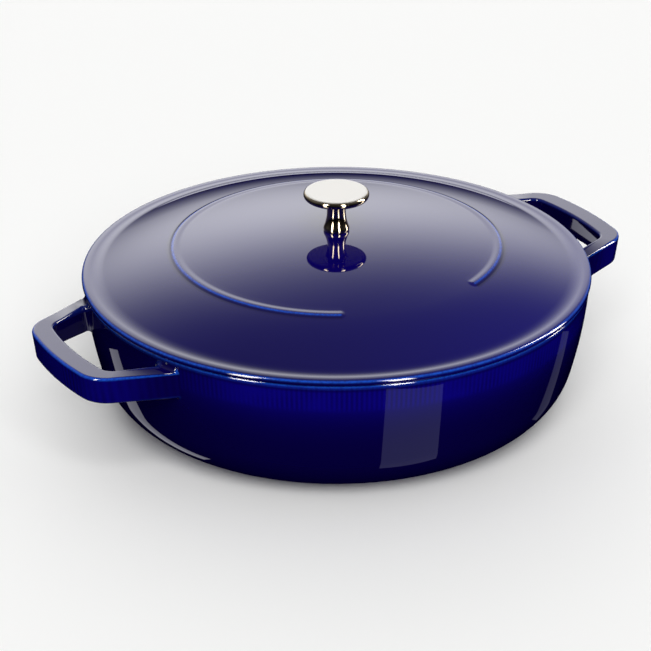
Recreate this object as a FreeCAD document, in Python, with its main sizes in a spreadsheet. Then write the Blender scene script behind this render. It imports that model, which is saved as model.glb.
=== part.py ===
# Round cast-iron braiser: a pot with two loop handles cast in one with it, and a lift-off
# domed lid with a turned knob that a screw and two washers hold from below.
# Millimetres. +Z is up, the origin is the middle of the flat base, the handles lie along X.
import FreeCAD, Part
import math
import os
import re
import Sketcher

# Driving dimensions, in millimetres and degrees. Names that end in share are plain ratios.
SIZES = {
    # Pot casting
    "rim_radius": 147.1,
    "pot_height": 78.4,
    "rim_width": 6.2,
    "rim_round": 1.6,
    "lip_round": 1.2,
    "wall_draft": 3.75,
    "heel_draft": 14.5,
    "heel_radius": 34.6,
    "wall": 4.5,
    # Loop handles
    "handle_projection": 37.3,
    "handle_drop": 6.1,
    "handle_thickness": 16.4,
    "handle_bar": 13.3,
    "handle_inset": 1.7,
    "window_inset": 2.7,
    "arm_root_half_span": 57.0,
    "arm_root_width": 11.4,
    "arm_tip_half_span": 40.0,
    "arm_tip_width": 7.0,
    "handle_corner": 19.0,
    "window_corner": 8.9,
    "handle_edge": 1.6,
    "root_fillet": 2.6,
    "root_depth_share": 0.62,
    # Lid casting
    "lid_overhang": 0.9,
    "lid_edge": 3.3,
    "lid_edge_round": 2.1,
    "lid_edge_under": 0.8,
    "lid_rise": 22.1,
    "lid_thickness": 4.0,
    "dome_drop": 9.0,
    "shoulder_run": 53.6,
    "band_width": 6.7,
    "cove_radius": 19.0,
    "lid_play": 1.2,
    "rib_depth": 4.2,
    "rib_width": 3.6,
    "knob_seat_radius": 8.2,
    "screw_hole_play": 0.4,
    # Raised bead on the lid
    "bead_height": 1.0,
    "bead_width": 3.4,
    "bead_sink": 0.8,
    "bead_gap_angle": 49.6,
    "bead_gap_turn": -93.8,
    # Basting nubs under the lid
    "nub_radius": 2.4,
    "nub_turn": 15.0,
    "inner_nub_share": 0.32,
    "middle_nub_share": 0.6,
    "outer_nub_share": 0.88,
    "inner_nub_count": 6,
    "middle_nub_count": 12,
    "outer_nub_count": 18,
    # Knob
    "knob_height": 24.2,
    "knob_radius": 19.0,
    "knob_edge": 4.3,
    "knob_top_round": 1.0,
    "knob_under_round": 1.2,
    "knob_foot_radius": 7.3,
    "knob_bulge_radius": 7.55,
    "knob_bulge_height": 1.3,
    "knob_neck_radius": 5.5,
    "knob_neck_height": 11.8,
    "thread_radius": 3.0,
    "thread_depth": 13.0,
    "thread_play": 0.05,
    # Screw and washers
    "screw_reach": 10.5,
    "screw_head_radius": 5.4,
    "screw_head_height": 3.6,
    "screw_head_round": 1.7,
    "screw_slot_width": 1.5,
    "screw_slot_depth": 1.7,
    "washer_radius": 7.0,
    "washer_thickness": 1.2,
    "washer_play": 0.25,
    "spring_radius": 5.2,
    "spring_thickness": 1.5,
    "spring_split": 1.2,
    "overrun": 2.0,
}

doc = FreeCAD.newDocument("Braiser")
sheet = doc.addObject("Spreadsheet::Sheet", "sizes")
for row, (alias, value) in enumerate(SIZES.items(), 1):
    sheet.set("A%d" % row, alias)
    sheet.set("B%d" % row, str(value))
    sheet.setAlias("B%d" % row, alias)
doc.recompute()


def bound(formula):
    """A formula in size names, with each name pointing at its cell of the sheet."""
    return re.sub(r"[a-z_]+", lambda w: "sizes." + w[0] if w[0] in SIZES else w[0], formula)


def number(formula):
    """The present value of a formula."""
    value = sheet.evalExpression(bound(formula))
    return float(getattr(value, "Value", value))


def origin_plane(body, role):
    return next(f for f in body.Origin.OriginFeatures if f.Role == role)


def new_sketch(body, name, role):
    sketch = body.newObject("Sketcher::SketchObject", name)
    sketch.AttachmentSupport = [(origin_plane(body, role), "")]
    sketch.MapMode = "FlatFace"
    return sketch


def pin_point(sketch, edge, end, formulas):
    """Holds one end of an edge at a place given by two formulas."""
    for kind, axis, formula in zip(("DistanceX", "DistanceY"), (-2, -1), formulas):
        if formula == "0":
            sketch.addConstraint(Sketcher.Constraint("PointOnObject", edge, end, axis))
        else:
            rule = Sketcher.Constraint(kind, -1, 1, edge, end, number(formula))
            sketch.setExpression("Constraints[%d]" % sketch.addConstraint(rule), bound(formula))


def outline(sketch, start, steps):
    """Draws a closed outline. Each step is (x, y) for a line, or (x, y, radius, turn) for an arc
    of less than half a circle that turns left (1) or right (-1) on its way to that point."""
    corners = [start] + [step[:2] for step in steps]
    places = [FreeCAD.Vector(number(x), number(y), 0) for x, y in corners]
    ends = []
    for step, here, there in zip(steps, places, places[1:]):
        if len(step) == 2:
            edge = sketch.addGeometry(Part.LineSegment(here, there), False)
            ends.append((edge, 1, 2))
            continue
        radius, turn = number(step[2]), step[3]
        chord = there - here
        rise = math.sqrt(max(radius**2 - chord.Length**2 / 4, 0))
        left = FreeCAD.Vector(-chord.y, chord.x, 0).normalize()
        centre = (here + there) / 2 + left * rise * turn
        first, last = (here, there) if turn > 0 else (there, here)
        angles = [math.atan2(p.y - centre.y, p.x - centre.x) for p in (first, last)]
        circle = Part.Circle(centre, FreeCAD.Vector(0, 0, 1), radius)
        edge = sketch.addGeometry(Part.ArcOfCircle(circle, *angles), False)
        rule = sketch.addConstraint(Sketcher.Constraint("Radius", edge, radius))
        sketch.setExpression("Constraints[%d]" % rule, bound(step[2]))
        ends.append((edge, 1, 2) if turn > 0 else (edge, 2, 1))
    for index, (edge, _, end) in enumerate(ends):
        following, begin, _ = ends[(index + 1) % len(ends)]
        sketch.addConstraint(Sketcher.Constraint("Coincident", edge, end, following, begin))
        pin_point(sketch, edge, end, corners[(index + 1) % len(steps)])
    return sketch


def revolve(body, name, sketch, angle="360", axis="V_Axis"):
    feature = body.newObject("PartDesign::Revolution", name)
    feature.Profile = sketch
    feature.ReferenceAxis = (sketch, [axis])
    feature.setExpression("Angle", bound(angle))
    doc.recompute()
    return feature


def round_edges(body, name, base, radius, test):
    """Fillets every edge of the base feature that passes the test."""
    doc.recompute()
    picked = ["Edge%d" % n for n, edge in enumerate(base.Shape.Edges, 1) if test(edge)]
    feature = body.newObject("PartDesign::Fillet", name)
    feature.Base = (base, picked)
    feature.setExpression("Radius", bound(radius))
    doc.recompute()
    return feature


def cut_pocket(body, name, sketch, depth, both_ways=False):
    """Pocket that must take material away, so its volume is compared with what was there."""
    doc.recompute()
    before = body.Shape.Volume
    feature = body.newObject("PartDesign::Pocket", name)
    feature.Profile = sketch
    feature.Midplane = both_ways
    feature.setExpression("Length", bound(depth))
    doc.recompute()
    if body.Shape.Volume >= before:
        feature.Reversed = True
        doc.recompute()
    return feature


def new_body(name):
    body = doc.addObject("PartDesign::Body", name)
    body.Label = name
    return body


# Pot: the outer wall is an arc that leans out by the heel's draft at the bottom and by the
# wall's draft at the rim, with the heel arc tangent to it and to the flat base.
wall_bow = ("((pot_height - rim_round - heel_radius * (1 - sin(heel_draft)))"
            " / (sin(heel_draft) - sin(wall_draft)))")
heel_x = f"(rim_radius - {wall_bow} * (cos(wall_draft) - cos(heel_draft)))"
heel_z = "(heel_radius * (1 - sin(heel_draft)))"
base_radius = f"({heel_x} - heel_radius * cos(heel_draft))"
# The inner heel has the same centre, and the inner wall leaves it on a tangent up to the lip.
bowl_radius = "(rim_radius - rim_width)"
inner_heel = "(heel_radius - wall)"
inner_heel_x = f"({base_radius} + {inner_heel} * cos(heel_draft))"
inner_heel_z = f"(heel_radius - {inner_heel} * sin(heel_draft))"
lip_z = "(pot_height - lip_round)"
wall_run = f"({bowl_radius} - {inner_heel_x})"
wall_climb = f"({lip_z} - {inner_heel_z})"
inner_bow = (f"(sqrt({wall_run}^2 + {wall_climb}^2)"
             f" / (2 * sin(heel_draft - atan({wall_run} / {wall_climb}) / 1 deg)))")

pot = new_body("pot")
pot_profile = outline(new_sketch(pot, "pot_profile", "XZ_Plane"), ("0", "0"), [
    (base_radius, "0"),
    (heel_x, heel_z, "heel_radius", 1),
    ("rim_radius", "pot_height - rim_round", wall_bow, 1),
    ("rim_radius - rim_round", "pot_height", "rim_round", 1),
    (f"{bowl_radius} + lip_round", "pot_height"),
    (bowl_radius, lip_z, "lip_round", 1),
    (inner_heel_x, inner_heel_z, inner_bow, -1),
    (base_radius, "wall", inner_heel, -1),
    ("0", "wall"),
    ("0", "0"),
])
bowl = revolve(pot, "bowl", pot_profile)

# Handles: a loop of two splayed arms and a bar that runs round the pot's own axis. All its faces
# lean in below, those of the window more, and the arms end inside the wall.
root_radius = "(rim_radius - rim_width * root_depth_share)"
handle_reach = "(rim_radius + handle_projection)"
window_reach = f"({handle_reach} - handle_bar)"
handle_top = "(pot_height - handle_drop)"
handle_low = f"({handle_top} - handle_thickness)"


def on_circle(radius, across):
    """Distance along X to a circle about the pot's axis, at that distance across it."""
    return f"sqrt(({radius})^2 - ({across})^2)"


def handle_outline(side, name, height, inset, window_inset):
    """U-shaped outline of one loop, with its corners left sharp, drawn in on its outside by one
    inset and opened round its window by the other."""
    way = "" if side > 0 else "-"
    reach = f"({handle_reach} - {inset})"
    hollow = f"({window_reach} + {window_inset})"
    arm_root, arm_tip = f"(arm_root_half_span - {inset})", f"(arm_tip_half_span - {inset})"
    gap_root = f"(arm_root_half_span - arm_root_width + {window_inset})"
    gap_tip = f"(arm_tip_half_span - arm_tip_width + {window_inset})"

    def corner(radius, across, half):
        return (way + on_circle(radius, across), half + across)

    sketch = new_sketch(pot, name, "XY_Plane")
    sketch.setExpression("AttachmentOffset.Base.z", bound(height))
    return outline(sketch, corner(root_radius, arm_root, "-"), [
        corner(reach, arm_tip, "-"),
        corner(reach, arm_tip, "") + (reach, side),
        corner(root_radius, arm_root, ""),
        corner(root_radius, gap_root, ""),
        corner(hollow, gap_tip, ""),
        corner(hollow, gap_tip, "-") + (hollow, -side),
        corner(root_radius, gap_root, "-"),
        corner(root_radius, arm_root, "-"),
    ])


for side, word in ((1, "right"), (-1, "left")):
    upper = handle_outline(side, f"{word}_handle_upper", handle_top, "0", "0")
    lower = handle_outline(
        side, f"{word}_handle_lower", handle_low, "handle_inset", "window_inset")
    handle = pot.newObject("PartDesign::AdditiveLoft", f"{word}_handle")
    handle.Profile = upper
    handle.Sections = [lower]
    handle.Ruled = True
    doc.recompute()


def near(value, formula):
    return abs(value - number(formula)) < number("overrun") / 2


def is_upright_at(edge, reach):
    """An edge that climbs the full height of a handle, with its upper end at that reach."""
    if len(edge.Vertexes) != 2:
        return False
    low, high = sorted(edge.Vertexes, key=lambda end: end.Z)
    climbs = near(high.Z - low.Z, "handle_thickness")
    return climbs and near(math.hypot(high.X, high.Y), reach)


def is_rim_of_handle(edge, height):
    """An edge round the upper or lower face of a handle, outside the pot's wall."""
    box = edge.BoundBox
    flat = box.ZLength < number("overrun") / 2
    middle = edge.valueAt((edge.FirstParameter + edge.LastParameter) / 2)
    return flat and near(box.ZMax, height) and math.hypot(middle.x, middle.y) > number("rim_radius")


def is_root_of_handle(edge):
    """An edge where a handle meets the pot's outer wall."""
    box = edge.BoundBox
    inside = box.ZMin > number(f"{handle_low} - overrun")
    inside = inside and box.ZMax < number(f"{handle_top} + overrun")
    middle = edge.valueAt((edge.FirstParameter + edge.LastParameter) / 2)
    reach = math.hypot(middle.x, middle.y)
    return inside and number(root_radius) < reach < number("rim_radius + overrun / 4")


corners = round_edges(pot, "handle_corners", pot.Tip, "handle_corner",
                      lambda edge: is_upright_at(edge, handle_reach))
windows = round_edges(pot, "window_corners", corners, "window_corner",
                      lambda edge: is_upright_at(edge, window_reach))
tops = round_edges(pot, "handle_tops", windows, "handle_edge",
                   lambda edge: is_rim_of_handle(edge, handle_top))
unders = round_edges(pot, "handle_unders", tops, "handle_edge",
                     lambda edge: is_rim_of_handle(edge, handle_low))
roots = round_edges(pot, "handle_roots", unders, "root_fillet", is_root_of_handle)

# Lid: flat seat for the knob, dome, shoulder tangent to it at the bead, then a hollow cove
# down to the flat band round the edge. The underside runs parallel to it.
lid_radius = "(rim_radius + lid_overhang)"
lid_band_z = "(pot_height + lid_edge)"
lid_top = f"({lid_band_z} + lid_rise)"
# The dome is part of a ball about the axis, through the edge of the seat and its own edge.
dome_edge = f"({lid_radius} - shoulder_run)"
dome_edge_z = f"({lid_top} - dome_drop)"
dome_sink = f"(({dome_edge}^2 + dome_drop^2 - knob_seat_radius^2) / (2 * dome_drop))"
dome_middle_z = f"({lid_top} - {dome_sink})"
dome_radius = f"sqrt({dome_sink}^2 + knob_seat_radius^2)"
dome_sine = f"({dome_edge} / {dome_radius})"
dome_cosine = f"(({dome_sink} - dome_drop) / {dome_radius})"
under_dome = f"({dome_radius} - lid_thickness)"
# The shoulder leaves the dome on a tangent, and touches the cove, which ends level at the band.
shoulder_fall = "(lid_rise - dome_drop)"
slope_run = "(shoulder_run - band_width)"
shoulder_radius = (
    f"(({slope_run}^2 + (cove_radius - {shoulder_fall})^2 - cove_radius^2) / (2 * (cove_radius"
    f" - {slope_run} * {dome_sine} - (cove_radius - {shoulder_fall}) * {dome_cosine})))")
arc_sum = f"({shoulder_radius} + cove_radius)"
slope_sine = f"(({slope_run} + {shoulder_radius} * {dome_sine}) / {arc_sum})"
slope_cosine = f"(({shoulder_radius} * {dome_cosine} + cove_radius - {shoulder_fall}) / {arc_sum})"
band_x = f"({lid_radius} - band_width)"
shoulder_x = f"({band_x} - cove_radius * {slope_sine})"
shoulder_z = f"({lid_band_z} + cove_radius * (1 - {slope_cosine}))"
rib_x = f"({bowl_radius} - lid_play)"
screw_hole = "(thread_radius + screw_hole_play)"


def under_dome_at(across):
    """Height of the dome's underside at a distance across from the axis."""
    return f"({dome_middle_z} + sqrt({under_dome}^2 - ({across})^2))"


washer_top = under_dome_at("knob_seat_radius")
lid = new_body("lid")
lid_profile = outline(new_sketch(lid, "lid_profile", "XZ_Plane"), (screw_hole, lid_top), [
    (screw_hole, washer_top),
    ("knob_seat_radius", washer_top),
    (f"{dome_edge} - lid_thickness * {dome_sine}",
     f"{dome_edge_z} - lid_thickness * {dome_cosine}", under_dome, -1),
    (f"{shoulder_x} - lid_thickness * {slope_sine}",
     f"{shoulder_z} - lid_thickness * {slope_cosine}", f"{shoulder_radius} - lid_thickness", -1),
    (f"{rib_x} - rib_width", "pot_height - rib_depth"),
    (rib_x, "pot_height - rib_depth"),
    (rib_x, "pot_height"),
    (f"{lid_radius} - lid_edge_under", "pot_height"),
    (lid_radius, "pot_height + lid_edge_under", "lid_edge_under", 1),
    (lid_radius, f"{lid_band_z} - lid_edge_round"),
    (f"{lid_radius} - lid_edge_round", lid_band_z, "lid_edge_round", 1),
    (band_x, lid_band_z),
    (shoulder_x, shoulder_z, "cove_radius", -1),
    (dome_edge, dome_edge_z, shoulder_radius, 1),
    ("knob_seat_radius", lid_top, dome_radius, 1),
    (screw_hole, lid_top),
])
revolve(lid, "lid_casting", lid_profile)

# Bead: part of a ring of low round section that lies square to the slope of the dome, with a
# round dome at each end. The gap in it is plain.
bead_round = "((bead_width^2 / 4 + bead_height^2) / (2 * bead_height))"
bead_turn = "(bead_gap_turn + bead_gap_angle / 2)"


def on_bead(along, proud):
    """A point of the bead's section, by its place along the slope and its height above it."""
    return (f"{dome_edge} + ({along}) * {dome_cosine} + ({proud}) * {dome_sine}",
            f"{dome_edge_z} - ({along}) * {dome_sine} + ({proud}) * {dome_cosine}")


def turned_sketch(name, turn):
    """A sketch that stands on the lid's axis, turned about it."""
    sketch = new_sketch(lid, name, "XZ_Plane")
    upright = FreeCAD.Rotation(FreeCAD.Vector(0, 1, 0), number(turn))
    sketch.AttachmentOffset = FreeCAD.Placement(FreeCAD.Vector(), upright)
    sketch.setExpression("AttachmentOffset.Rotation.Angle", bound(turn))
    return sketch


inner_edge, outer_edge = on_bead("-bead_width / 2", "0"), on_bead("bead_width / 2", "0")
crown, foot = on_bead("0", "bead_height"), on_bead("0", "-bead_sink")
bead_section = outline(turned_sketch("bead_section", bead_turn), inner_edge, [
    on_bead("-bead_width / 2", "-bead_sink"),
    on_bead("bead_width / 2", "-bead_sink"),
    outer_edge,
    inner_edge + (bead_round, 1),
])
revolve(lid, "bead", bead_section, "360 - bead_gap_angle")
for name, turn in (("first", bead_turn), ("last", f"({bead_turn} - bead_gap_angle)")):
    half_section = outline(turned_sketch(f"bead_{name}_end_section", turn), foot, [
        on_bead("bead_width / 2", "-bead_sink"),
        outer_edge,
        crown + (bead_round, 1),
        foot,
    ])
    ends = [FreeCAD.Vector(number(x), number(z), 0) for x, z in (foot, crown)]
    axis = half_section.addGeometry(Part.LineSegment(*ends), True)
    pin_point(half_section, axis, 1, foot)
    pin_point(half_section, axis, 2, crown)
    revolve(lid, f"bead_{name}_end", half_section, axis="Axis0")

# Nubs: balls sunk by half in the underside of the dome, in rings about the axis.
for place in ("inner", "middle", "outer"):
    circle = f"({dome_edge} * {place}_nub_share)"
    nub = lid.newObject("PartDesign::AdditiveSphere", f"{place}_nub")
    nub.setExpression("Radius", bound("nub_radius"))
    nub.setExpression("Placement.Base.x", bound(f"{circle} * cos(nub_turn)"))
    nub.setExpression("Placement.Base.y", bound(f"{circle} * sin(nub_turn)"))
    nub.setExpression("Placement.Base.z", bound(under_dome_at(circle)))
    doc.recompute()
    ring = lid.newObject("PartDesign::PolarPattern", f"{place}_nub_ring")
    ring.Originals = [nub]
    ring.Axis = (lid_profile, ["V_Axis"])
    ring.Angle = 360
    ring.setExpression("Occurrences", bound(f"{place}_nub_count"))
    lid.Tip = ring
    doc.recompute()

# Knob: foot that swells out, a waisted neck tangent to it, and a flat disc with a round edge.
bulge_step = "(knob_bulge_radius - knob_foot_radius)"
bulge_round = f"(({bulge_step}^2 + knob_bulge_height^2) / (2 * {bulge_step}))"
neck_step = "(knob_bulge_radius - knob_neck_radius)"
neck_climb = "(knob_neck_height - knob_bulge_height)"
round_sum = f"(({neck_step}^2 + {neck_climb}^2) / (2 * {neck_step}))"
neck_round = f"({round_sum} - {bulge_round})"
waist_x = f"(knob_bulge_radius - {bulge_round} * {neck_step} / {round_sum})"
waist_z = f"(knob_bulge_height + {bulge_round} * {neck_climb} / {round_sum})"
disc_z = "(knob_height - knob_edge)"
neck_top_x = (f"(knob_neck_radius + {neck_round}"
              f" - sqrt({neck_round}^2 - ({disc_z} - knob_neck_height)^2))")


def above_lid(height):
    return f"{lid_top} + {height}"


knob = new_body("lid_knob")
knob_profile = outline(
    new_sketch(knob, "knob_profile", "XZ_Plane"), ("thread_radius", lid_top), [
        ("knob_foot_radius", lid_top),
        (waist_x, above_lid(waist_z), bulge_round, 1),
        (neck_top_x, above_lid(disc_z), neck_round, -1),
        ("knob_radius - knob_under_round", above_lid(disc_z)),
        ("knob_radius", above_lid(f"{disc_z} + knob_under_round"), "knob_under_round", 1),
        ("knob_radius", above_lid("knob_height - knob_top_round")),
        ("knob_radius - knob_top_round", above_lid("knob_height"), "knob_top_round", 1),
        ("0", above_lid("knob_height")),
        ("0", above_lid("thread_depth + thread_radius / 2")),
        ("thread_radius", above_lid("thread_depth")),
        ("thread_radius", lid_top),
    ])
revolve(knob, "knob_turning", knob_profile)

# Flat washer under the lid, then the split spring washer, then the head of the screw.
spring_top = f"({washer_top} - washer_thickness)"
head_top = f"({spring_top} - spring_thickness)"
head_low = f"({head_top} - screw_head_height)"
washer_bore = "(thread_radius + washer_play)"


def ring_body(name, bore, radius, top, thickness):
    body = new_body(name)
    section = outline(new_sketch(body, f"{name}_section", "XZ_Plane"), (bore, top), [
        (bore, f"{top} - {thickness}"),
        (radius, f"{top} - {thickness}"),
        (radius, top),
        (bore, top),
    ])
    revolve(body, f"{name}_ring", section)
    return body


flat_washer = ring_body("flat_washer", washer_bore, "washer_radius", washer_top, "washer_thickness")
spring_washer = ring_body("spring_washer", washer_bore, "spring_radius", spring_top, "spring_thickness")
split = new_sketch(spring_washer, "spring_split_outline", "YZ_Plane")
split_lean = "(spring_thickness / 2)"
outline(split, (f"-spring_split / 2 - {split_lean}", f"{head_top} - overrun"), [
    (f"spring_split / 2 - {split_lean}", f"{head_top} - overrun"),
    (f"spring_split / 2 + {split_lean}", f"{spring_top} + overrun"),
    (f"-spring_split / 2 + {split_lean}", f"{spring_top} + overrun"),
    (f"-spring_split / 2 - {split_lean}", f"{head_top} - overrun"),
])
cut_pocket(spring_washer, "spring_split_cut", split, "spring_radius + overrun")

screw = new_body("knob_screw")
shank = "(thread_radius - thread_play)"
screw_tip = f"({lid_top} + screw_reach)"
screw_profile = outline(new_sketch(screw, "screw_profile", "XZ_Plane"), ("0", head_low), [
    ("screw_head_radius - screw_head_round", head_low),
    ("screw_head_radius", f"{head_low} + screw_head_round", "screw_head_round", 1),
    ("screw_head_radius", head_top),
    (shank, head_top),
    (shank, f"{screw_tip} - thread_radius / 4"),
    (f"{shank} - thread_radius / 4", screw_tip),
    ("0", screw_tip),
    ("0", head_low),
])
revolve(screw, "screw_turning", screw_profile)
slot = new_sketch(screw, "screw_slot", "XZ_Plane")
outline(slot, ("-screw_slot_width / 2", f"{head_low} - overrun"), [
    ("screw_slot_width / 2", f"{head_low} - overrun"),
    ("screw_slot_width / 2", f"{head_low} + screw_slot_depth"),
    ("-screw_slot_width / 2", f"{head_low} + screw_slot_depth"),
    ("-screw_slot_width / 2", f"{head_low} - overrun"),
])
cut_pocket(screw, "screw_slot_cut", slot, "(screw_head_radius + overrun) * 2", both_ways=True)

# Nothing is written unless every object came out whole.
doc.recompute()
failed = [o.Name for o in doc.Objects if "Invalid" in o.State or "Error" in o.State]
bodies = [pot, lid, knob, flat_washer, spring_washer, screw]
failed += [b.Name for b in bodies if b.Shape.isNull() or not b.Shape.isValid()]
if failed:
    raise RuntimeError("these objects failed: " + ", ".join(failed))
os.makedirs("parts", exist_ok=True)
for body in bodies:
    print(body.Label, len(body.Shape.Solids), round(body.Shape.Volume), body.Shape.BoundBox)
    body.Shape.exportStep(f"parts/{body.Label}.step")
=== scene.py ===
import bmesh
import bpy
import numpy as np
from mathutils import Matrix, Vector


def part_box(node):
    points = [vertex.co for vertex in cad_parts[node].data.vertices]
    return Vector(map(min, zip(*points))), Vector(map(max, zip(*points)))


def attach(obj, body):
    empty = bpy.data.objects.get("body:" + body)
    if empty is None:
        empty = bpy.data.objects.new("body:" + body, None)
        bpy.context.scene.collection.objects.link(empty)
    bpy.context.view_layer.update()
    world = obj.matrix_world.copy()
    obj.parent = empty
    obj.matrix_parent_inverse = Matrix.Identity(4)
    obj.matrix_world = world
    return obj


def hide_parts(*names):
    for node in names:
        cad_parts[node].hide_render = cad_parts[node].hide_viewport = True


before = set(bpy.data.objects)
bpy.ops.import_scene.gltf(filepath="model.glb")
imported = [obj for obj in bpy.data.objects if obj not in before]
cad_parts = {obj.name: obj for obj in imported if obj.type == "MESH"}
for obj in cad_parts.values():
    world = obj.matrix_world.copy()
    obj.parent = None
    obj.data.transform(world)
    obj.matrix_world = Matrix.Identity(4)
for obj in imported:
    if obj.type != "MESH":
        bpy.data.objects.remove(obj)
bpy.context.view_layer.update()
mm = 0.001
weld = 0.002        # mm, points of a mesh that are closer than this become one
doubled = 1e-6      # mm, points of a profile that are closer than this are the same
print("frame loaded:", ", ".join(sorted(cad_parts)))


# Profiles are (radius, height) points in millimetres, drawn with lines and arcs

def line(first, last, count):
    # straight run, with its points closer together towards both ends
    t = 0.5 - 0.5 * np.cos(np.linspace(0, np.pi, count))
    return np.outer(1 - t, first) + np.outer(t, last)


def arc(centre, radius, start, end, count):
    # centre + radius * (sin a, cos a), with a in degrees from straight up
    a = np.radians(np.linspace(start, end, count))
    return np.stack([centre[0] + radius * np.sin(a), centre[1] + radius * np.cos(a)], 1)


def onArc(centre, radius, lean):
    # the point of such an arc that leans by that many degrees
    return arc(centre, radius, lean, lean, 1)[0]


def chain(*runs):
    # runs joined end to end, without the doubled points where they meet
    points = np.concatenate(runs)
    steps = np.linalg.norm(np.diff(points, axis=0), axis=1)
    return points[np.r_[True, steps > doubled]]


def fullTurn(count):
    # angles once round, with the first again at the end
    return np.linspace(0, 2 * np.pi, count + 1)


def revolve(profile, turns):
    # a profile point (r, z) carried round the upright axis: (r cos t, r sin t, z)
    r, z = profile[:, :1], profile[:, 1:]
    return np.stack([r * np.cos(turns), r * np.sin(turns), z + 0 * turns], 2)


def unit(v):
    # each vector over its own length
    return v / np.linalg.norm(v, axis=-1, keepdims=True)


def smoothStep(low, high, x):
    # 0 up to low, 1 from high on, and t^2 (3 - 2t) between them
    t = np.clip((x - low) / (high - low), 0, 1)
    return t * t * (3 - 2 * t)


def between(first, last, t):
    # directions swept evenly from one unit vector to another: sin((1-t)w) a + sin(tw) b, over sin w
    w = np.arccos(np.clip((first * last).sum(-1, keepdims=True), -1, 1))
    return (np.sin((1 - t) * w) * first + np.sin(t * w) * last) / np.sin(w)


def gridFaces(shape, start):
    # one quad for each cell of a grid of points, numbered row by row from start
    index = start + np.arange(shape[0] * shape[1]).reshape(shape[:2])
    corners = index[:-1, :-1], index[:-1, 1:], index[1:, 1:], index[1:, :-1]
    return np.stack([c.ravel() for c in corners], 1)


def facesOut(points, quads):
    # a closed shell that faces outwards has a positive volume: sum of a . (b x c) / 6
    a, b, c, d = (points[quads[:, k]] for k in range(4))
    volume = (a * (np.cross(b, c) + np.cross(c, d))).sum() / 6
    return quads if volume > 0 else quads[:, ::-1]


def makePiece(name, surfaces, body, node, materials):
    # surfaces: closed grids in millimetres, with their paint per point and their finish per row
    points, quads, finishes = [], [], []
    paint = {key: [] for key in sorted({key for s in surfaces for key in s} - {"grid", "finish"})}
    for s in surfaces:
        grid = s["grid"]
        flat = grid.reshape(-1, 3)
        faces = gridFaces(grid.shape, 0)
        rowFinish = np.repeat(s.get("finish", np.zeros(len(grid) - 1, int)), grid.shape[1] - 1)
        quads.append(facesOut(flat, faces) + sum(len(p) for p in points))
        points.append(flat)
        finishes.append(rowFinish)
        for key, values in paint.items():
            values.append(np.broadcast_to(s.get(key, 0.0), grid.shape[:2]).ravel())
    mesh = bpy.data.meshes.new(name)
    mesh.from_pydata((np.concatenate(points) * mm).tolist(), [], np.concatenate(quads).tolist())
    for key, values in paint.items():
        layer = mesh.attributes.new(key, "FLOAT", "POINT")
        layer.data.foreach_set("value", np.concatenate(values).astype(np.float32))
    for material in materials:
        mesh.materials.append(material)
    mesh.polygons.foreach_set("material_index", np.concatenate(finishes).astype(np.int32))
    mesh.polygons.foreach_set("use_smooth", np.ones(len(mesh.polygons), bool))
    shell = bmesh.new()
    shell.from_mesh(mesh)
    bmesh.ops.remove_doubles(shell, verts=shell.verts, dist=weld * mm)  # closes seams and poles
    shell.to_mesh(mesh)
    shell.free()
    piece = bpy.data.objects.new(name, mesh)
    bpy.context.scene.collection.objects.link(piece)
    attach(piece, body)
    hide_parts(node)
    print(name, "made:", len(mesh.polygons), "faces")


def crest(profile, middle, width):
    # paint that fades away from a point of the profile: exp(-(distance / width)^2)
    return np.exp(-((profile - np.array(middle))**2).sum(1) / width**2)[:, None]


# Materials

def linear(hexColour):
    # sRGB hex to linear light: ((c + 0.055) / 1.055) ^ 2.4, or c / 12.92 near black
    c = np.array([int(hexColour[k:k + 2], 16) for k in (1, 3, 5)]) / 255
    light = np.where(c > 0.04045, ((c + 0.055) / 1.055) ** 2.4, c / 12.92)
    return (*light.tolist(), 1.0)


def addNode(tree, kind, inputs=None, **settings):
    # an input is a value, or another node's socket to link
    node = tree.nodes.new(kind)
    for key, value in settings.items():
        setattr(node, key, value)
    for key, value in (inputs or {}).items():
        if isinstance(value, bpy.types.NodeSocket):
            tree.links.new(value, node.inputs[key])
        else:
            node.inputs[key].default_value = value
    return node


def newMaterial(name):
    material = bpy.data.materials.new(name)
    material.use_nodes = True
    tree = material.node_tree
    tree.nodes.clear()
    shader = addNode(tree, "ShaderNodeBsdfPrincipled")
    addNode(tree, "ShaderNodeOutputMaterial", {"Surface": shader.outputs[0]})
    return material, tree, shader


def perMm(size):
    # a noise texture's scale for features of that size in millimetres
    return 1 / (size * mm)


glaze = dict(
    deep="#080142", runs="#0e0586", thin="#1a54cc",
    ior=1.5, roughness=0.03,
    ribSpacing=2.7, ribDepth=0.55,      # mm between the fine upright runs below the rim, and their depth
    patchSize=30.0,                     # mm, patches where the runs show more or less
    speckSize=1.6, speckLeast=0.6,      # mm, specks in the edges' thin glaze, and its least share there
    noiseRange=(0.3, 0.6),              # noise over which the patches and the specks fade in
    waveSize=13.0, waveDepth=0.012,     # mm, slow unevenness of the fired surface
)


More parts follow.
